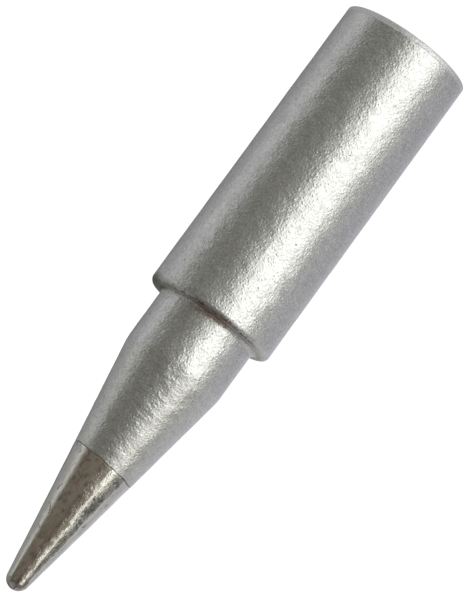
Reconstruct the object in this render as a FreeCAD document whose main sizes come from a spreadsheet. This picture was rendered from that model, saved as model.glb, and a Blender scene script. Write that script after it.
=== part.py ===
import FreeCAD, Part
import math
import os

import Sketcher

# A tip for a soldering iron, turned and bored from one bar of copper and plated all over.
# It has a wide sleeve, bored from its mouth for the heater, a shoulder that the iron's barrel nut pulls against,
# a straight neck, and a long taper that ends in a rounded point. The last part of the taper is tinned, and a fine
# line runs round it where the plating stops.
# The tip stands on its mouth: the origin is the middle of the mouth's face, and +Z runs up the axis to the point.
# All sizes are in millimetres.

NODE = "soldering_tip"
FULL_TURN = 360.0

# Each driving size: its name, its value and what it measures.
SIZES = (
    ("bore_diameter", 4.3, "heater bore"),
    ("sleeve_wall", 1.1, "wall round the heater bore"),
    ("sleeve_length", 15.7, "mouth to shoulder"),
    ("shoulder_width", 0.725, "step from the sleeve in to the neck"),
    ("neck_length", 2.72, "shoulder to the start of the taper"),
    ("plated_taper_length", 5.4, "start of the taper to the line where the plating stops"),
    ("tinned_length", 6.93, "that line to the very end of the point"),
    ("point_radius", 0.57, "rounding of the point"),
    ("bore_end_to_shoulder", 1.5, "end of the bore's straight wall to the shoulder"),
    ("drill_point_angle", 118.0, "full angle of the bore's conical end, in degrees"),
    ("bore_lead_in", 0.25, "chamfer at the bore's mouth"),
    ("mouth_edge_radius", 0.05, "rounding of the mouth's outer edge"),
    ("shoulder_edge_radius", 0.28, "rounding of the shoulder's outer edge"),
    ("neck_root_radius", 0.2, "fillet in the corner of shoulder and neck"),
    ("taper_blend_radius", 1.0, "blend from the neck into the taper"),
    ("plating_line_width", 0.08, "line where the plating stops, along the axis"),
    ("plating_line_depth", 0.03, "the same line, into the surface"),
)

# Sizes that follow from the driving ones.
SLEEVE_RADIUS = "(sizes.bore_diameter / 2 + sizes.sleeve_wall)"
NECK_RADIUS = f"({SLEEVE_RADIUS} - sizes.shoulder_width)"
BORE_DEPTH = "(sizes.sleeve_length - sizes.bore_end_to_shoulder)"

# The largest shares of the wall or step beside it that an edge's rounding may take up.
OUTER_EDGE_SHARE = 0.6
INNER_EDGE_SHARE = 0.3


def make_sheet(doc):
    """The sheet of driving sizes, one row each: name, value, meaning."""
    sheet = doc.addObject("Spreadsheet::Sheet", "sizes")
    for row, (name, value, meaning) in enumerate(SIZES, start=1):
        sheet.set(f"A{row}", name)
        sheet.set(f"B{row}", str(value))
        sheet.set(f"C{row}", meaning)
        sheet.setAlias(f"B{row}", name)
    doc.recompute()
    return sheet


def sleeve_radius(sheet):
    return sheet.bore_diameter / 2 + sheet.sleeve_wall


def neck_radius(sheet):
    return sleeve_radius(sheet) - sheet.shoulder_width


def new_sketch(body, name, role):
    """A sketch on one of the body's own origin planes, such as XZ_Plane."""
    sketch = body.newObject("Sketcher::SketchObject", name)
    plane = next(feature for feature in body.Origin.OriginFeatures if feature.Role == role)
    sketch.AttachmentSupport = [(plane, "")]
    sketch.MapMode = "FlatFace"
    return sketch


def line(start, end):
    return Part.LineSegment(FreeCAD.Vector(*start, 0), FreeCAD.Vector(*end, 0))


def circle(centre, radius):
    return Part.Circle(FreeCAD.Vector(*centre, 0), FreeCAD.Vector(0, 0, 1), radius)


def join_ends(sketch, kind, first, second):
    """The end of one edge is the start of the next, meeting at a corner or at a tangent."""
    sketch.addConstraint(Sketcher.Constraint(kind, first, 2, second, 1))


def dimension(sketch, kind, places, value, name, formula):
    """A named dimension of a sketch that follows the sheet by a formula."""
    index = sketch.addConstraint(Sketcher.Constraint(kind, *places, value))
    sketch.renameConstraint(index, name)
    sketch.setExpression(f"Constraints.{name}", formula)


def demand_solved(sketch):
    if sketch.solve() != 0 or not sketch.FullyConstrained:
        raise RuntimeError(f"sketch {sketch.Label} is not fully solved")


def draw_turned_outline(body, sheet):
    """Half of the lengthwise section, from the mouth's middle round to the point and back down the axis."""
    sleeve = sleeve_radius(sheet)
    neck = neck_radius(sheet)
    shoulder_height = sheet.sleeve_length
    taper_height = shoulder_height + sheet.neck_length
    line_height = taper_height + sheet.plated_taper_length
    top = line_height + sheet.tinned_length
    ball = sheet.point_radius
    ball_height = top - ball

    # The taper meets the ball of the point, and the blend of the neck, at tangents.
    reach = math.hypot(neck, ball_height - taper_height)
    slope = math.atan2(neck, ball_height - taper_height) - math.asin(ball / reach)
    line_radius = neck - sheet.plated_taper_length * math.tan(slope)
    ball_touch = (ball * math.cos(slope), ball_height + ball * math.sin(slope))
    blend = sheet.taper_blend_radius
    blend_centre = (neck - blend, taper_height - blend * math.tan(slope / 2))
    blend_start = (neck, blend_centre[1])
    blend_end = (blend_centre[0] + blend * math.cos(slope), blend_centre[1] + blend * math.sin(slope))

    sketch = new_sketch(body, "turned_outline", "XZ_Plane")
    edges = (
        line((0, 0), (sleeve, 0)),
        line((sleeve, 0), (sleeve, shoulder_height)),
        line((sleeve, shoulder_height), (neck, shoulder_height)),
        line((neck, shoulder_height), blend_start),
        Part.ArcOfCircle(circle(blend_centre, blend), 0, slope),
        line(blend_end, (line_radius, line_height)),
        line((line_radius, line_height), ball_touch),
        Part.ArcOfCircle(circle((0, ball_height), ball), slope, math.pi / 2),
        line((0, top), (0, 0)),
    )
    for edge in edges:
        sketch.addGeometry(edge)
    mouth, sleeve_side, shoulder, neck_side, neck_blend, plated_taper, tinned_taper, point, axis = range(len(edges))
    corner = sketch.addGeometry(Part.Point(FreeCAD.Vector(neck, taper_height, 0)), True)

    join_ends(sketch, "Coincident", mouth, sleeve_side)
    join_ends(sketch, "Coincident", sleeve_side, shoulder)
    join_ends(sketch, "Coincident", shoulder, neck_side)
    join_ends(sketch, "Tangent", neck_side, neck_blend)
    join_ends(sketch, "Tangent", neck_blend, plated_taper)
    join_ends(sketch, "Coincident", plated_taper, tinned_taper)
    join_ends(sketch, "Tangent", tinned_taper, point)
    join_ends(sketch, "Coincident", point, axis)
    join_ends(sketch, "Coincident", axis, mouth)
    sketch.addConstraint(Sketcher.Constraint("Parallel", plated_taper, tinned_taper))
    sketch.addConstraint(Sketcher.Constraint("Coincident", mouth, 1, -1, 1))
    sketch.addConstraint(Sketcher.Constraint("PointOnObject", point, 3, -2))
    for side in (neck_side, plated_taper):
        sketch.addConstraint(Sketcher.Constraint("PointOnObject", corner, 1, side))
    for flat in (mouth, shoulder):
        sketch.addConstraint(Sketcher.Constraint("Horizontal", flat))
    for upright in (sleeve_side, neck_side, axis):
        sketch.addConstraint(Sketcher.Constraint("Vertical", upright))

    dimension(sketch, "DistanceX", (-1, 1, mouth, 2), sleeve, "sleeve_radius", SLEEVE_RADIUS)
    dimension(sketch, "DistanceX", (-1, 1, neck_side, 1), neck, "neck_radius", NECK_RADIUS)
    dimension(sketch, "DistanceY", (sleeve_side, 1, sleeve_side, 2), shoulder_height, "shoulder_height",
              "sizes.sleeve_length")
    dimension(sketch, "DistanceY", (neck_side, 1, corner, 1), sheet.neck_length, "neck_height",
              "sizes.neck_length")
    dimension(sketch, "DistanceY", (corner, 1, plated_taper, 2), sheet.plated_taper_length, "plated_height",
              "sizes.plated_taper_length")
    dimension(sketch, "DistanceY", (plated_taper, 2, point, 2), sheet.tinned_length, "tinned_height",
              "sizes.tinned_length")
    dimension(sketch, "Radius", (neck_blend,), blend, "blend_radius", "sizes.taper_blend_radius")
    dimension(sketch, "Radius", (point,), ball, "ball_radius", "sizes.point_radius")
    demand_solved(sketch)

    # The taper's own radius where the plating stops is only read off.
    reading = sketch.addConstraint(Sketcher.Constraint("DistanceX", -1, 1, plated_taper, 2, line_radius))
    sketch.setDriving(reading, False)
    sketch.renameConstraint(reading, "line_radius")
    return sketch


def turn_outside(body, sheet):
    outline = draw_turned_outline(body, sheet)
    turned = body.newObject("PartDesign::Revolution", "turned_blank")
    turned.Profile = outline
    turned.ReferenceAxis = (outline, ["V_Axis"])
    turned.Angle = FULL_TURN
    body.Document.recompute()
    return outline


def drill_bore(body, sheet):
    """The heater's blind bore, drilled up from the mouth and left with the drill's conical end."""
    radius = sheet.bore_diameter / 2
    sketch = new_sketch(body, "bore_centre", "XY_Plane")
    sketch.addGeometry(circle((0, 0), radius))
    sketch.addConstraint(Sketcher.Constraint("Coincident", 0, 3, -1, 1))
    dimension(sketch, "Radius", (0,), radius, "bore_radius", "sizes.bore_diameter / 2")
    demand_solved(sketch)
    body.Document.recompute()

    blank_volume = body.Shape.Volume
    bore = body.newObject("PartDesign::Hole", "heater_bore")
    bore.Profile = sketch
    body.Document.recompute()
    bore.Reversed = True
    bore.DepthType = "Dimension"
    bore.DrillPoint = "Angled"
    bore.setExpression("Diameter", "sizes.bore_diameter")
    bore.setExpression("Depth", BORE_DEPTH)
    bore.setExpression("DrillPointAngle", "sizes.drill_point_angle")
    body.Document.recompute()

    depth = sheet.sleeve_length - sheet.bore_end_to_shoulder
    cone_height = radius / math.tan(math.radians(sheet.drill_point_angle / 2))
    removed = math.pi * radius**2 * (depth + cone_height / 3)
    if abs(blank_volume - bore.Shape.Volume - removed) > 0.01 * removed:
        raise RuntimeError("the heater bore did not cut the volume that it should")


def cut_plating_line(body, sheet, outline):
    """The fine V-shaped line round the taper where the plating stops."""
    depth = sheet.plating_line_depth
    width = sheet.plating_line_width
    height = sheet.sleeve_length + sheet.neck_length + sheet.plated_taper_length
    surface = outline.getDatum("line_radius").Value
    root = (surface - depth, height)
    low = (surface + depth, height - width)
    high = (surface + depth, height + width)

    # The V is drawn twice as deep and twice as wide, so that it has its own width where it leaves the surface.
    sketch = new_sketch(body, "plating_line_section", "XZ_Plane")
    sketch.addGeometry(line(root, low))
    sketch.addGeometry(line(low, high))
    sketch.addGeometry(line(high, root))
    for first, second in ((0, 1), (1, 2), (2, 0)):
        join_ends(sketch, "Coincident", first, second)
    sketch.addConstraint(Sketcher.Constraint("Vertical", 1))
    sketch.addConstraint(Sketcher.Constraint("Equal", 0, 2))
    dimension(sketch, "DistanceX", (-1, 1, 0, 1), root[0], "root_radius",
              "turned_outline.Constraints.line_radius - sizes.plating_line_depth * 1 mm")
    dimension(sketch, "DistanceY", (-1, 1, 0, 1), height, "line_height",
              "sizes.sleeve_length + sizes.neck_length + sizes.plated_taper_length")
    dimension(sketch, "DistanceX", (0, 1, 0, 2), 2 * depth, "section_depth", "2 * sizes.plating_line_depth")
    dimension(sketch, "DistanceY", (1, 1, 1, 2), 2 * width, "section_width", "2 * sizes.plating_line_width")
    demand_solved(sketch)

    volume_before = body.Shape.Volume
    groove = body.newObject("PartDesign::Groove", "plating_line")
    groove.Profile = sketch
    groove.ReferenceAxis = (sketch, ["V_Axis"])
    groove.Angle = FULL_TURN
    body.Document.recompute()
    if not groove.Shape.Volume < volume_before:
        raise RuntimeError("the plating line cut nothing")


def round_edge_near(shape, radius, height):
    """The name of the round edge about the axis that lies nearest this radius and height."""
    distances = []
    for number, edge in enumerate(shape.Edges, start=1):
        if not edge.Degenerated and isinstance(edge.Curve, Part.Circle):
            centre = edge.Curve.Center
            distances.append((math.hypot(edge.Curve.Radius - radius, centre.z - height), number))
    return f"Edge{min(distances)[1]}"


def dress_edge(body, kind, name, place, size_property, formula):
    """Rounds or chamfers one edge of the body's last feature."""
    base = body.Tip
    dressed = body.newObject(kind, name)
    dressed.Base = (base, [round_edge_near(base.Shape, *place)])
    dressed.setExpression(size_property, formula)
    body.Document.recompute()


def dress_edges(body, sheet):
    sleeve = sleeve_radius(sheet)
    neck = neck_radius(sheet)
    bore = sheet.bore_diameter / 2
    shoulder_height = sheet.sleeve_length
    dress_edge(body, "PartDesign::Fillet", "neck_root", (neck, shoulder_height), "Radius",
               f"min(sizes.neck_root_radius; {INNER_EDGE_SHARE} * sizes.shoulder_width)")
    dress_edge(body, "PartDesign::Fillet", "shoulder_edge", (sleeve, shoulder_height), "Radius",
               f"min(sizes.shoulder_edge_radius; {OUTER_EDGE_SHARE} * sizes.shoulder_width)")
    dress_edge(body, "PartDesign::Fillet", "mouth_edge", (sleeve, 0), "Radius",
               f"min(sizes.mouth_edge_radius; {INNER_EDGE_SHARE} * sizes.sleeve_wall)")
    dress_edge(body, "PartDesign::Chamfer", "bore_mouth", (bore, 0), "Size",
               f"min(sizes.bore_lead_in; {OUTER_EDGE_SHARE} * sizes.sleeve_wall)")


def make_tip(doc, sheet):
    body = doc.addObject("PartDesign::Body", NODE)
    body.Label = NODE
    outline = turn_outside(body, sheet)
    drill_bore(body, sheet)
    cut_plating_line(body, sheet, outline)
    dress_edges(body, sheet)
    return body


def demand_sound(doc, body):
    """Every object was rebuilt without an error, and the tip is one closed solid."""
    for thing in doc.Objects:
        if {"Invalid", "Error"} & set(thing.State):
            raise RuntimeError(f"{thing.Label} failed to rebuild: {thing.State}")
    shape = body.Shape
    if shape.isNull() or not shape.isValid() or len(shape.Solids) != 1:
        raise RuntimeError(f"{body.Label} is not one valid solid")


def main():
    doc = FreeCAD.newDocument("soldering_tip_model")
    sheet = make_sheet(doc)
    body = make_tip(doc, sheet)
    doc.recompute()
    demand_sound(doc, body)
    os.makedirs("parts", exist_ok=True)
    body.Shape.exportStep(f"parts/{NODE}.step")
    box = body.Shape.optimalBoundingBox()
    print(f"{NODE}: {box.XLength:.3f} x {box.YLength:.3f} x {box.ZLength:.3f} mm, {body.Shape.Volume:.2f} mm3")


main()
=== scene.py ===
import bpy
import math
from mathutils import Matrix, Vector


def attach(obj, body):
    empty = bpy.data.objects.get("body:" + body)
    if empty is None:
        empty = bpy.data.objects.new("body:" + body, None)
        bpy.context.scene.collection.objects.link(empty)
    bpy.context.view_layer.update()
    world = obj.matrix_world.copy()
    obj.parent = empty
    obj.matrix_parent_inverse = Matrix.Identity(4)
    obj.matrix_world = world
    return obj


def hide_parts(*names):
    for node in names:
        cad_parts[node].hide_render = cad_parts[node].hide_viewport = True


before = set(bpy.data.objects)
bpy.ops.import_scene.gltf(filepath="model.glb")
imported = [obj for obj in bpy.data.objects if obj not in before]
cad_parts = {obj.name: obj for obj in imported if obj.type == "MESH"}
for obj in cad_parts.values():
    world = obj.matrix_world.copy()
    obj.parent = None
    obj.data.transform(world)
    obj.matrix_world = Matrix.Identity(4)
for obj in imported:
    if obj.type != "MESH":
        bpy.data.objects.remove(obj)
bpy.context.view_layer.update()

# A tip for a soldering iron, standing on its mouth with its point up: a sleeve bored for the heater,
# a shoulder, a straight neck and a long taper. It is turned as one piece and plated, and the end of the
# taper is tinned. Lengths are in millimetres here, and become metres where a point is placed.
MM = 0.001

# The turned shape, as the part's own source has it, but for a softer blend from the neck into the taper.
BORE_RADIUS = 2.15
BORE_WALL_END = 14.2
BORE_LEAD_IN = 0.25
DRILL_HALF_ANGLE = math.radians(59)
SLEEVE_RADIUS = 3.25
MOUTH_EDGE_RADIUS = 0.05
SHOULDER_HEIGHT = 15.7
SHOULDER_EDGE_RADIUS = 0.28
NECK_RADIUS = 2.525
NECK_ROOT_RADIUS = 0.2
TAPER_HEIGHT = 18.42
TAPER_BLEND_RADIUS = 2.4
PLATING_END = 23.82
TIP_HEIGHT = 30.75
POINT_RADIUS = 0.57
STEPS_ROUND = 232

# A height above all of the bore and below the shoulder.
ABOVE_BORE = 15.6

# The plating's ripple stands out by up to this much, so the sleeve is turned smaller by it.
RIPPLE_ROOM = 0.008

# The end of the plating isn't square to the axis. The tilt is its rise from the axis to that radius,
# towards +X. It also wanders, in waves that each have a count per turn, a height and a phase.
PLATING_END_TILT = -0.149
PLATING_END_RADIUS = 1.631
PLATING_END_WAVES = ((3, 0.012, 0.4), (7, 0.014, 2.1), (13, 0.010, 4.0))

# A small bead of solder beside the point: its turn round the axis and its distance from it, its height,
# and how long and wide it is.
BEAD_TURN = math.radians(-111)
BEAD_FROM_AXIS = 0.59
BEAD_HEIGHT = 30.28
BEAD_LONG = 0.36
BEAD_WIDE = 0.28
BEAD_PLACE = (BEAD_FROM_AXIS * math.cos(BEAD_TURN), BEAD_FROM_AXIS * math.sin(BEAD_TURN), BEAD_HEIGHT)

# How far the turned surface is pushed out by each thing on it, or in by the line where the plating stops.
RIPPLE_DEPTH = 0.022
LUMP_DEPTH = 0.035
CLOUD_SIZE = 0.9
LINE_DEPTH = 0.01
LINE_HALF_WIDTH = 0.035
POINT_LEAN = 0.045
BEAD_DEPTH = 0.025

# The colours of the plating, of what is on it, and of painted light and shade on it.
PLATING_DARK = (0.577, 0.577, 0.572, 1)
PLATING_PALE = (0.647, 0.647, 0.643, 1)
PIT = (0.2, 0.2, 0.19, 1)
TARNISH = (0.47, 0.375, 0.335, 1)
GRIME_AND_PAINTED_SHADE = (0.05, 0.048, 0.045, 1)
RUBBED_METAL_AND_PAINTED_LIGHT = (0.74, 0.74, 0.745, 1)

# The colours of the solder, of what is on it, of painted shade at the point, and of the line where it
# starts.
SOLDER_DARK = (0.55, 0.545, 0.52, 1)
SOLDER_PALE = (0.85, 0.84, 0.805, 1)
FILM_THIN = (1.0, 0.895, 0.87, 1)
FILM_THICK = (0.88, 0.73, 0.68, 1)
POINT_PAINTED_SHADE = (0.42, 0.405, 0.39, 1)
SOOT = (0.08, 0.08, 0.08, 1)
BURNT_FLUX = (0.2, 0.155, 0.125, 1)
SOLDER_START = (0.08, 0.07, 0.06, 1)

# The colours of the bore's wall, and of what stands round the tip.
BORE_DARK = (0.40, 0.37, 0.35, 1)
BORE_PALE = (0.52, 0.50, 0.49, 1)
WHITE = (1, 1, 1, 1)
FLOOR_GREY = (0.25, 0.25, 0.25, 1)
FLOOR_SIZE = 6000


class Value:
    """A number, colour or vector on its way through the nodes. Maths on a number adds the Math nodes."""

    def __init__(self, nodes, socket):
        self.nodes = nodes
        self.socket = socket

    def other(self, name):
        """Another output of the node that this value comes from."""
        return Value(self.nodes, self.socket.node.outputs[name])

    def __add__(self, number):
        return self.nodes.maths("ADD", self, number)

    __radd__ = __add__

    def __sub__(self, number):
        return self.nodes.maths("SUBTRACT", self, number)

    def __rsub__(self, number):
        return self.nodes.maths("SUBTRACT", number, self)

    def __mul__(self, number):
        return self.nodes.maths("MULTIPLY", self, number)

    __rmul__ = __mul__


class Nodes:
    """The nodes of one material, or of the light all round."""

    def __init__(self, tree):
        self.tree = tree
        tree.nodes.clear()

    def add(self, kind, settings=None, inputs=None, output=0):
        """A new node with its settings, then its inputs. Gives one of its outputs."""
        node = self.tree.nodes.new(kind)
        for name, setting in (settings or {}).items():
            setattr(node, name, setting)
        for name, value in (inputs or {}).items():
            if isinstance(value, Value):
                self.tree.links.new(value.socket, node.inputs[name])
            else:
                node.inputs[name].default_value = value
        return Value(self, node.outputs[output]) if len(node.outputs) else None

    def maths(self, operation, *numbers):
        return self.add("ShaderNodeMath", {"operation": operation}, dict(enumerate(numbers)))

    def vector(self, operation, *vectors):
        return self.add("ShaderNodeVectorMath", {"operation": operation}, dict(enumerate(vectors)))

    def scale(self, vector, number):
        return self.add("ShaderNodeVectorMath", {"operation": "SCALE"}, {0: vector, "Scale": number})

    def object_place(self):
        """The place on the object, in millimetres."""
        place = self.add("ShaderNodeTexCoord", output="Object")
        return self.vector("DIVIDE", place, (MM, MM, MM))

    def parts(self, vector):
        """The x of a vector. Its other outputs are Y and Z."""
        return self.add("ShaderNodeSeparateXYZ", None, {0: vector})

    def rise(self, value, start, end):
        """A smooth step from 0 at start to 1 at end."""
        settings = {"interpolation_type": "SMOOTHSTEP"}
        return self.add("ShaderNodeMapRange", settings, {"Value": value, "From Min": start, "From Max": end})

    def fall(self, value, start, end):
        """A smooth step from 1 at start to 0 at end."""
        return 1.0 - self.rise(value, start, end)

    def band(self, value, start, full, fading, end):
        """0 up to start, 1 from full to fading, and 0 again from end on."""
        return self.rise(value, start, full) * self.fall(value, fading, end)

    def noise(self, place, size, detail=2.0, roughness=0.5):
        """Cloudy noise from 0 to 1, whose patches are about size across."""
        inputs = {"Vector": place, "Scale": 1 / size, "Detail": detail, "Roughness": roughness}
        return self.add("ShaderNodeTexNoise", None, inputs)

    def spots(self, place, size):
        """The distance to the nearest of scattered points, which are about size apart."""
        spot = self.add("ShaderNodeTexVoronoi", None, {"Vector": place, "Scale": 1 / size})
        return spot * size

    def blend(self, mask, first, second):
        """The first colour where the mask is 0 and the second where it is 1."""
        return self.add("ShaderNodeMix", {"data_type": "RGBA"}, {0: mask, 6: first, 7: second}, output=2)


def new_material(name):
    material = bpy.data.materials.new(name)
    material.use_nodes = True
    return material, Nodes(material.node_tree)


def finish_material(nodes, inputs):
    shader = nodes.add("ShaderNodeBsdfPrincipled", None, inputs)
    nodes.add("ShaderNodeOutputMaterial", None, {"Surface": shader})


def plating_end_height(turn, x):
    """The height at which the plating ends, at that turn round the axis and that x."""
    waves = sum(height * math.sin(count * turn + phase) for count, height, phase in PLATING_END_WAVES)
    return PLATING_END + PLATING_END_TILT * x / PLATING_END_RADIUS + waves


def run(points, radius, height, steps):
    """Carries the outline straight on to that radius and height."""
    last_radius, last_height = points[-1]
    for step in range(1, steps + 1):
        share = step / steps
        next_radius = last_radius + (radius - last_radius) * share
        next_height = last_height + (height - last_height) * share
        points.append((next_radius, next_height))


def bend(points, centre, radius, start, end, steps):
    """Carries the outline on round an arc, between two angles from straight outwards, in degrees."""
    for step in range(1, steps + 1):
        angle = math.radians(start + (end - start) * step / steps)
        points.append((centre[0] + radius * math.cos(angle), centre[1] + radius * math.sin(angle)))


def tip_outline():
    """Half of the lengthwise section, as (radius, height), from the end of the bore round to the point."""
    sleeve = SLEEVE_RADIUS - RIPPLE_ROOM
    points = [(0.0, BORE_WALL_END + BORE_RADIUS / math.tan(DRILL_HALF_ANGLE))]
    run(points, BORE_RADIUS, BORE_WALL_END, 8)
    run(points, BORE_RADIUS, BORE_LEAD_IN, 30)
    run(points, BORE_RADIUS + BORE_LEAD_IN, 0.0, 2)
    run(points, sleeve - MOUTH_EDGE_RADIUS, 0.0, 4)
    bend(points, (sleeve - MOUTH_EDGE_RADIUS, MOUTH_EDGE_RADIUS), MOUTH_EDGE_RADIUS, -90, 0, 4)
    edge_height = SHOULDER_HEIGHT - SHOULDER_EDGE_RADIUS
    run(points, sleeve, edge_height, 120)
    bend(points, (sleeve - SHOULDER_EDGE_RADIUS, edge_height), SHOULDER_EDGE_RADIUS, 0, 90, 8)
    root = (NECK_RADIUS + NECK_ROOT_RADIUS, SHOULDER_HEIGHT + NECK_ROOT_RADIUS)
    run(points, root[0], SHOULDER_HEIGHT, 4)
    bend(points, root, NECK_ROOT_RADIUS, 270, 180, 5)

    ball_height = TIP_HEIGHT - POINT_RADIUS
    reach = math.hypot(NECK_RADIUS, ball_height - TAPER_HEIGHT)
    slope = math.atan2(NECK_RADIUS, ball_height - TAPER_HEIGHT) - math.asin(POINT_RADIUS / reach)
    blend_height = TAPER_HEIGHT - TAPER_BLEND_RADIUS * math.tan(slope / 2)
    blend_centre = (NECK_RADIUS - TAPER_BLEND_RADIUS, blend_height)
    run(points, NECK_RADIUS, blend_height, 20)
    bend(points, blend_centre, TAPER_BLEND_RADIUS, 0, math.degrees(slope), 9)

    def taper_radius(height):
        return NECK_RADIUS - (height - TAPER_HEIGHT) * math.tan(slope)

    # The rows lie closest together on both sides of the end of the plating, for the line there.
    close_rows = 0.28
    line_start, line_end = PLATING_END - close_rows, PLATING_END + close_rows
    near_ball = ball_height - 0.2
    run(points, taper_radius(line_start), line_start, 44)
    run(points, taper_radius(line_end), line_end, 24)
    run(points, taper_radius(near_ball), near_ball, 80)
    run(points, POINT_RADIUS * math.cos(slope), ball_height + POINT_RADIUS * math.sin(slope), 10)
    bend(points, (0, ball_height), POINT_RADIUS, math.degrees(slope), 90, 20)
    return points


def turn_on_lathe(name, outline):
    """One closed piece: the outline drawn out point by point, then turned round the axis."""
    bpy.ops.object.select_all(action="DESELECT")
    bpy.ops.mesh.primitive_plane_add(size=MM, location=(0, 0, 0))
    piece = bpy.context.object
    piece.name = name
    bpy.ops.object.mode_set(mode="EDIT")
    bpy.ops.mesh.merge(type="CENTER")
    place = Vector((0, 0, 0))
    for number, (radius, height) in enumerate(outline):
        there = Vector((radius, 0, height)) * MM
        if number == 0:
            bpy.ops.transform.translate(value=there)
        else:
            bpy.ops.mesh.extrude_region_move(TRANSFORM_OT_translate={"value": there - place})
        place = there
    bpy.ops.mesh.select_all(action="SELECT")
    bpy.ops.mesh.spin(steps=STEPS_ROUND, angle=math.tau, center=(0, 0, 0), axis=(0, 0, 1))
    bpy.ops.mesh.select_all(action="SELECT")
    bpy.ops.mesh.remove_doubles(threshold=0.0001 * MM)
    bpy.ops.mesh.normals_make_consistent(inside=False)
    bpy.ops.object.mode_set(mode="OBJECT")
    return piece


def weigh(piece, name, weight):
    """A vertex group whose weight at each point comes from its radius, height, turn round the axis and x."""
    group = piece.vertex_groups.new(name=name)
    for vertex in piece.data.vertices:
        x, y, z = vertex.co / MM
        share = weight(math.hypot(x, y), z, math.atan2(y, x), x)
        if share > 0.001:
            group.add([vertex.index], min(share, 1.0), "REPLACE")
    return group.name


def smooth_step(value, start, end):
    share = min(max((value - start) / (end - start), 0.0), 1.0)
    return share * share * (3 - 2 * share)


def plated_share(radius, height, turn, x):
    """1 on the plated outside, falling to 0 at the end of the plating and on the mouth's face."""
    if height < 0.001 or (radius < BORE_RADIUS + BORE_LEAD_IN and height < ABOVE_BORE):
        return 0.0
    return smooth_step(plating_end_height(turn, x) - height, 0.0, 0.1) * smooth_step(height, 0.05, 0.4)


def tinned_share(radius, height, turn, x):
    """1 on the tinned end, falling to 0 at the end of the plating and at the very end of the point."""
    above_start = smooth_step(height - plating_end_height(turn, x), 0.0, 0.35)
    return above_start * smooth_step(TIP_HEIGHT - height, 0.0, 0.25)


def plating_line_share(radius, height, turn, x):
    """1 along the fine line where the plating stops."""
    return math.exp(-((height - plating_end_height(turn, x)) / LINE_HALF_WIDTH) ** 2)


def lean_share(radius, height, turn, x):
    """From 0 at the end of the plating to 1 at the very end of the point."""
    if height < PLATING_END:
        return 0.0
    return ((height - PLATING_END) / (TIP_HEIGHT - PLATING_END)) ** 1.3


def bead_share(radius, height, turn, x):
    """1 on a small flat bead of solder beside the point."""
    across = abs(turn - BEAD_TURN) * radius
    along = abs(height - BEAD_HEIGHT)
    return smooth_step(BEAD_WIDE / 2 - across, 0.0, 0.04) * smooth_step(BEAD_LONG / 2 - along, 0.0, 0.05)


def cloud_pattern(name):
    pattern = bpy.data.textures.new(name, "CLOUDS")
    pattern.noise_scale = CLOUD_SIZE * MM
    pattern.noise_depth = 1
    pattern.noise_basis = "IMPROVED_PERLIN"
    return pattern


def push_out(piece, group, depth, direction="NORMAL", pattern=None):
    """Moves the group's surface by up to that depth, in clouds if there is a pattern, and applies it."""
    modifier = piece.modifiers.new(group, "DISPLACE")
    modifier.vertex_group = group
    modifier.direction = direction
    modifier.strength = depth * MM
    modifier.mid_level = 0.5 if pattern else 0.0
    if pattern:
        modifier.texture = pattern
        modifier.texture_coords = "LOCAL"
    bpy.ops.object.modifier_apply(modifier=modifier.name)


def make_tip():
    piece = turn_on_lathe("soldering_tip_plated", tip_outline())
    plating = weigh(piece, "plating", plated_share)
    solder = weigh(piece, "solder", tinned_share)
    line = weigh(piece, "plating_line", plating_line_share)
    lean = weigh(piece, "lean", lean_share)
    bead = weigh(piece, "bead", bead_share)
    push_out(piece, plating, RIPPLE_DEPTH, pattern=cloud_pattern("plating_ripple"))
    push_out(piece, solder, LUMP_DEPTH, pattern=cloud_pattern("solder_lumps"))
    push_out(piece, line, -LINE_DEPTH)
    push_out(piece, lean, POINT_LEAN, direction="X")
    push_out(piece, bead, BEAD_DEPTH)
    piece.vertex_groups.clear()
    bpy.ops.object.shade_smooth_by_angle(angle=math.radians(40))
    return piece


def above_plating_end(nodes, place):
    """How far the place is above the end of the plating."""
    x = nodes.parts(place)
    turn = nodes.maths("ARCTAN2", x.other("Y"), x)
    end = PLATING_END + x * (PLATING_END_TILT / PLATING_END_RADIUS)
    for count, height, phase in PLATING_END_WAVES:
        end = end + nodes.maths("SINE", turn * count + phase) * height
    return x.other("Z") - end


def turn_from_front(nodes, x):
    """Degrees round the axis from the front, towards +X, at a place whose parts are given."""
    return nodes.maths("ARCTAN2", x, 0.0 - x.other("Y")) * math.degrees(1)


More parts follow.
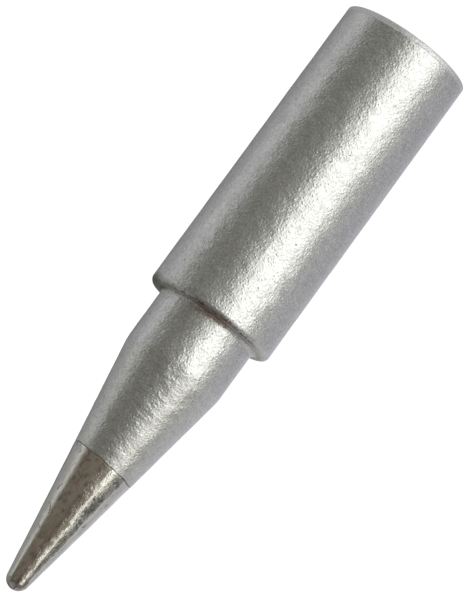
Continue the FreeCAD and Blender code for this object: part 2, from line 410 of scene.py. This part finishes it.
def shoulder_stains_and_shade(nodes, place):
    """Masks for what darkens the shoulder's edge: a dark line and a dark patch of painted shade, and crumbs
    of grime. Also for the tarnish inside it.
    """
    x = nodes.parts(place)
    y, z = x.other("Y"), x.other("Z")
    radius = nodes.maths("SQRT", x * x + y * y)
    turn = turn_from_front(nodes, x)
    above = z - SHOULDER_HEIGHT
    ragged = nodes.noise(place, 0.16, 4.0, 0.7) - 0.5

    # Degrees round the shoulder's edge, from 0 on the sleeve to 90 on its face. The line lies near this.
    line_degrees = 52
    edge_height = above + SHOULDER_EDGE_RADIUS
    edge_reach = radius - (SLEEVE_RADIUS - SHOULDER_EDGE_RADIUS)
    round_edge = nodes.maths("ARCTAN2", edge_height, edge_reach) * math.degrees(1)
    wander = nodes.noise(place, 0.7, 2.0) - 0.5
    # The dark line round the front of the shoulder's edge is painted shade.
    line_place = round_edge + ragged * 75 + wander * 30 - nodes.maths("MAXIMUM", turn, turn * -0.6) * 0.5
    thin = 9.0 - wander * 36 + nodes.rise(turn, 0, -20) * 3
    line = nodes.fall(nodes.maths("ABSOLUTE", line_place - line_degrees), thin * 0.4, thin + 6)
    line = line * nodes.band(turn, -62, -40, 56, 66) * nodes.fall(above, 0.04, 0.1)
    line = line * (0.5 + nodes.rise(nodes.noise(place, 0.45, 3.0, 0.6), 0.4, 0.58) * 0.5)
    crumbs = nodes.noise(place, 0.14, 3.0, 0.7) + nodes.rise(above, -0.7, -0.2) * 0.07
    grime = nodes.rise(crumbs, 0.62, 0.68) * nodes.band(above, -0.8, -0.3, 0.1, 0.3)
    grime = grime * nodes.rise(turn, -60, -30) * 0.5
    # A darker patch on the sleeve's left, just under the shoulder: painted shade.
    painted_corner_shade = nodes.band(turn, 54, 78, 100, 125) * nodes.rise(above + ragged * 0.3, -0.48, -0.2)
    painted_corner_shade = painted_corner_shade * nodes.fall(above, 0.05, 0.15) * 0.75
    dark = nodes.maths("MAXIMUM", nodes.maths("MAXIMUM", line, grime), painted_corner_shade)

    foot = nodes.rise(round_edge + ragged * 40, 18, 40) * nodes.fall(above + ragged * 0.5, 0.1, 0.3)
    across = turn + ragged * 40
    tarnish = foot * nodes.band(across, -30, -4, 12, 30) * (0.95 + ragged * 0.8)
    return dark, tarnish


def satin_plating(nodes, place):
    """The colour, roughness and height of the plating, with a fine grain, some pits, grime and painted shade
    at the shoulder, and a rubbed mouth painted lighter.
    """
    pit = nodes.fall(nodes.spots(place, 0.62), 0.025, 0.05)
    granules = nodes.noise(place, 0.1, 1.0, 0.5)
    grains = nodes.maths("MINIMUM", nodes.spots(place, 0.15), 0.07)
    dark, tarnish = shoulder_stains_and_shade(nodes, place)
    z = nodes.parts(place).other("Z")
    above_mouth = z + nodes.noise(place, 0.3, 3.0, 0.65) * 0.16
    # A rubbed, smoother band round the mouth, whose lighter colour is painted light.
    rubbed_and_painted_light = nodes.fall(above_mouth, 0.27, 0.4)
    rings = nodes.noise(nodes.vector("MULTIPLY", place, (0.4, 0.4, 1.0)), 0.26, 2.0)
    rings = rings * nodes.rise(z - TAPER_HEIGHT, -0.42, 0.58)
    waves = nodes.noise(place, 0.36, 1.0) * 0.014 + nodes.noise(place, 0.9, 1.0) * 0.04 + rings * 0.027
    height = granules * 0.0135 - grains * 0.122 + waves - pit * 0.012
    height = height * (1.0 - rubbed_and_painted_light * 0.5) + nodes.maths("MINIMUM", above_mouth, 0.34) * 0.25
    colour = nodes.blend(nodes.noise(place, 2.2, 3.0), PLATING_DARK, PLATING_PALE)
    mottle = nodes.noise(place, 0.4, 3.0, 0.6)
    colour = nodes.scale(colour, 0.55 + granules * 0.64 + mottle * 0.26)
    colour = nodes.blend(pit * 0.6, colour, PIT)
    colour = nodes.blend(tarnish, colour, TARNISH)
    # Crumbs of grime, and a dark line and a darker left corner at the shoulder, which are painted shade.
    colour = nodes.blend(dark * 0.9, colour, GRIME_AND_PAINTED_SHADE)
    # The mouth's band is worn smooth and painted lighter, as painted light.
    colour = nodes.blend(rubbed_and_painted_light * 0.7, colour, RUBBED_METAL_AND_PAINTED_LIGHT)
    roughness = 0.315 + nodes.noise(place, 0.3, 2.0) * 0.16 + dark * 0.22 + rubbed_and_painted_light * 0.14
    return colour, roughness, height


def uneven_solder(nodes, place, above):
    """The colour, roughness and height of the solder, with burnt flux on it, painted shade beside the grainy
    part and at the point, and where it starts.
    """
    along = nodes.vector("MULTIPLY", place, (1.0, 1.0, 0.55))
    x = nodes.parts(place)
    from_tip = x.other("Z") - TIP_HEIGHT
    fine = nodes.noise(along, 0.09, 2.0, 0.7)
    patches = nodes.noise(along, 0.42, 4.0, 0.7)
    blotches = nodes.rise(nodes.noise(along, 0.3, 4.0, 0.7), 0.46, 0.68)
    turn = turn_from_front(nodes, x) + (patches - 0.5) * 16

    # It wetted the front badly: it is grainy there, with a brown film of flux on one side of that part.
    grainy = nodes.band(turn, -54, -46, -2, 10)
    film = nodes.band(turn, -14, 2, 32, 42)
    film_tint = nodes.blend(nodes.rise(patches, 0.42, 0.6), FILM_THIN, FILM_THICK)
    dull = grainy * nodes.rise(nodes.noise(along, 0.8, 2.0), 0.42, 0.62)
    colour = nodes.blend(nodes.noise(along, 0.14, 3.0, 0.7), SOLDER_DARK, SOLDER_PALE)
    colour = nodes.vector("MULTIPLY", colour, nodes.blend(film, WHITE, film_tint))
    smooth_side = 1.0 - nodes.maths("MAXIMUM", film, grainy)
    # Beside the grainy part lies a band where the soot is. It is also darkened all over, as painted shade.
    soot_band_and_shade = nodes.band(turn, -50, -42, -27, -21)
    darker = dull * 0.25 + smooth_side * 0.29 + soot_band_and_shade * 0.34 + film * blotches * 0.36
    colour = nodes.scale(colour, 1.12 - darker)

    # Burnt flux: dark crumbs along one edge of the grainy part, and brown specks along the other and
    # round the bead.
    crumbs = nodes.noise(place, 0.15, 4.0, 0.75) + nodes.noise(place, 0.6, 1.0) * 0.5
    soot = nodes.rise(crumbs, 0.72, 0.84) * soot_band_and_shade * (1.0 - nodes.rise(from_tip, -4.35, -2.55) * 0.7)
    seam = nodes.band(turn, -24, -12, -4, 8)
    specks = nodes.noise(along, 0.22, 4.0, 0.7) + nodes.rise(from_tip, -1.75, -0.55) * 0.03
    from_bead = nodes.vector("DISTANCE", place, BEAD_PLACE).other("Value")
    bead = nodes.fall(from_bead, 0.12, 0.17)
    ring = nodes.fall(from_bead + (patches - 0.5) * 0.3, 0.26, 0.4) * (1.0 - bead)
    burnt = nodes.rise(specks + seam * 0.15 + ring * 0.05, 0.58, 0.67)
    burnt = nodes.maths("MAXIMUM", burnt, ring * 0.7)
    # The very end of the point is greyer: painted shade.
    colour = nodes.blend(nodes.rise(from_tip, -0.45, -0.25) * 0.6, colour, POINT_PAINTED_SHADE)
    colour = nodes.blend(soot * 0.85, colour, SOOT)
    colour = nodes.blend(burnt * 0.8, colour, BURNT_FLUX)
    start = nodes.fall(nodes.maths("ABSOLUTE", above + (fine - 0.5) * 0.05), 0.015, 0.045)
    start = start * (0.35 + nodes.fall(turn, -46, -32) * 0.4 + nodes.rise(turn, 30, 50) * 0.3)
    colour = nodes.blend(start, colour, SOLDER_START)

    roughness = 0.13 + fine * 0.06 + burnt * 0.2 + soot * 0.2 + grainy * 0.04 + bead * 0.15
    height = (nodes.noise(along, 0.2, 3.0, 0.7) * 0.024 + fine * 0.008) * (0.25 + grainy * 0.75)
    return colour, roughness, height


def plated_outside():
    """Satin plating, and glossy solder over the end."""
    material, nodes = new_material("satin_plating_and_solder")
    place = nodes.object_place()
    above = above_plating_end(nodes, place)
    tinned = nodes.rise(above, -0.03, -0.01)
    plating_colour, plating_roughness, plating_height = satin_plating(nodes, place)
    solder_colour, solder_roughness, solder_height = uneven_solder(nodes, place, above)
    colour = nodes.blend(tinned, plating_colour, solder_colour)
    roughness = plating_roughness + (solder_roughness - plating_roughness) * tinned
    height = plating_height + (solder_height - plating_height) * tinned
    bump = nodes.add("ShaderNodeBump", None, {"Strength": 1.0, "Distance": MM, "Height": height})
    finish_material(nodes, {"Base Color": colour, "Metallic": 1.0, "Roughness": roughness, "Normal": bump})
    return material


def drilled_bore():
    """The bore's wall, with the rings that the drill left and a thin, dark plating."""
    material, nodes = new_material("drilled_bore")
    place = nodes.object_place()
    rings = nodes.noise(nodes.vector("MULTIPLY", place, (0.2, 0.2, 8.0)), 1.0, 2.0)
    colour = nodes.blend(nodes.noise(place, 0.9, 3.0), BORE_DARK, BORE_PALE)
    bump = nodes.add("ShaderNodeBump", None, {"Strength": 1.0, "Distance": MM, "Height": rings * 0.01})
    finish_material(nodes, {"Base Color": colour, "Metallic": 1.0, "Roughness": 0.38, "Normal": bump})
    return material


def select_faces(piece, wanted):
    """Selects the faces whose middle, as a radius and a height, is wanted."""
    bpy.ops.object.mode_set(mode="EDIT")
    bpy.ops.mesh.select_all(action="DESELECT")
    bpy.ops.object.mode_set(mode="OBJECT")
    for face in piece.data.polygons:
        x, y, z = face.center / MM
        face.select = wanted(math.hypot(x, y), z)
    bpy.ops.object.mode_set(mode="EDIT")


def dress_tip(piece):
    piece.data.materials.append(plated_outside())
    piece.data.materials.append(drilled_bore())
    select_faces(piece, lambda radius, height: radius < BORE_RADIUS + 0.01 and height < ABOVE_BORE)
    piece.active_material_index = 1
    bpy.ops.object.material_slot_assign()
    bpy.ops.object.mode_set(mode="OBJECT")


# The light all round, in soft panels. Each has the side it is on, the degrees it spans round the axis
# and how soft those ends are, the degrees it spans above the horizon and how soft those are, and its
# colour. Degrees round the axis are from the camera's side towards +X, and a panel on both sides is
# repeated towards -X. A panel that goes all round has no end on that side.
ONE_SIDE, BOTH_SIDES = "one", "both"
ALL_ROUND = 400
LIGHT_PANELS = (
    (ONE_SIDE, (-61, -10), 25, (-45, 3), 12, (2.19, 2.22, 2.15)),
    (ONE_SIDE, (-12, 30), 30, (-45, 3), 12, (0.09, 0.09, 0.085)),
    (ONE_SIDE, (-58, -35), 8, (4, 42), 10, (1.24, 1.21, 1.10)),
    (ONE_SIDE, (83, 110), 30, (-30, 4), 10, (0.45, 0.46, 0.44)),
    (ONE_SIDE, (78, 94), 14, (4, 32), 8, (0.27, 0.27, 0.25)),
    (ONE_SIDE, (74, 102), 14, (-9, 30), 8, (0.11, 0.11, 0.11)),
    (ONE_SIDE, (82, 152), 30, (-45, 5), 10, (0.21, 0.21, 0.26)),
    (ONE_SIDE, (84, 150), 10, (5, 42), 14, (0.24, 0.24, 0.23)),
    (ONE_SIDE, (-ALL_ROUND, -84), 12, (-45, 5), 10, (0.21, 0.21, 0.26)),
    (ONE_SIDE, (-ALL_ROUND, -84), 10, (5, 42), 14, (0.24, 0.24, 0.23)),
    (BOTH_SIDES, (84, ALL_ROUND), 20, (42, 75), 14, (0.15, 0.14, 0.16)),
    (ONE_SIDE, (-ALL_ROUND, -84), 20, (42, 80), 14, (0.14, 0.13, 0.15)),
    (ONE_SIDE, (-98, -72), 12, (-45, 5), 10, (0.10, 0.10, 0.11)),
    (ONE_SIDE, (-ALL_ROUND, -132), 20, (-45, 5), 10, (0.11, 0.11, 0.14)),
    (ONE_SIDE, (-ALL_ROUND, -82), 12, (-9, 42), 10, (0.14, 0.14, 0.15)),
    (ONE_SIDE, (-145, -90), 14, (-7, 42), 8, (0.09, 0.09, 0.10)),
    (ONE_SIDE, (-ALL_ROUND, -150), 20, (-45, 0), 14, (0.24, 0.24, 0.24)),
    (BOTH_SIDES, (-10, ALL_ROUND), 10, (-45, 45), 20, (0.143, 0.142, 0.115)),
    (BOTH_SIDES, (-10, ALL_ROUND), 10, (52, 120), 20, (0.25, 0.25, 0.245)),
    (BOTH_SIDES, (-10, ALL_ROUND), 10, (-100, -40), 16, (0.56, 0.56, 0.57)),
)
LIGHT_BETWEEN = (0.035, 0.034, 0.033)


def soft_span(nodes, degrees, span, softness):
    """1 within the span and 0 outside it, with soft ends."""
    low, high = span
    half = softness / 2
    return nodes.rise(degrees, low - half, low + half) - nodes.rise(degrees, high - half, high + half)


def light_all_round():
    world = bpy.data.worlds.new("light_tent")
    world.use_nodes = True
    bpy.context.scene.world = world
    nodes = Nodes(world.node_tree)
    direction = nodes.add("ShaderNodeTexCoord", output="Object")
    x = nodes.parts(direction)
    turn = turn_from_front(nodes, x)
    lift = nodes.maths("ARCSINE", x.other("Z")) * math.degrees(1)
    light = LIGHT_BETWEEN
    for side, round_span, round_softness, up_span, up_softness, colour in LIGHT_PANELS:
        side_turn = nodes.maths("ABSOLUTE", turn) if side == BOTH_SIDES else turn
        across = soft_span(nodes, side_turn, round_span, round_softness)
        upward = soft_span(nodes, lift, up_span, up_softness)
        light = nodes.vector("ADD", light, nodes.scale(colour, across * upward))
    seen = nodes.add("ShaderNodeLightPath", output="Is Camera Ray")
    colour = nodes.blend(seen, light, WHITE)
    background = nodes.add("ShaderNodeBackground", None, {"Color": colour, "Strength": 1.0})
    nodes.add("ShaderNodeOutputWorld", None, {"Surface": background})


def make_floor():
    """A plain pale floor. The metal doesn't mirror it, because the light all round stands in for it."""
    bpy.ops.object.select_all(action="DESELECT")
    bpy.ops.mesh.primitive_plane_add(size=FLOOR_SIZE * MM, location=(0, 0, 0))
    floor = bpy.context.object
    floor.name = "floor"
    material, nodes = new_material("pale_floor")
    inputs = {"Base Color": FLOOR_GREY, "Roughness": 0.9, "Specular IOR Level": 0.0}
    inputs.update({"Emission Color": WHITE, "Emission Strength": 0.98})
    finish_material(nodes, inputs)
    floor.data.materials.append(material)
    floor.visible_glossy = False
    floor.visible_shadow = False


# The camera, fitted to the object's outline in the photograph: its place, the point it looks at and how
# far it is rolled over.
CAMERA_PLACE = (0.0, -175.93, 41.64)
CAMERA_TARGET = (-0.3978, 0.0, 14.0978)
CAMERA_ROLL = math.radians(143.93)
CAMERA_LENS = 235.71
SENSOR_LONG_SIDE = 36.0


def place_camera():
    camera = bpy.data.objects.new("camera", bpy.data.cameras.new("camera"))
    bpy.context.scene.collection.objects.link(camera)
    camera.data.lens = CAMERA_LENS
    camera.data.sensor_width = SENSOR_LONG_SIDE
    place = Vector(CAMERA_PLACE) * MM
    aim = (Vector(CAMERA_TARGET) * MM - place).to_track_quat("-Z", "Y")
    roll = Matrix.Rotation(-CAMERA_ROLL, 4, "Z")
    camera.matrix_world = Matrix.Translation(place) @ aim.to_matrix().to_4x4() @ roll
    bpy.context.scene.camera = camera


tip = make_tip()
dress_tip(tip)
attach(tip, "root")
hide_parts("soldering_tip")
make_floor()
light_all_round()
place_camera()
bpy.context.scene.view_settings.view_transform = "Standard"
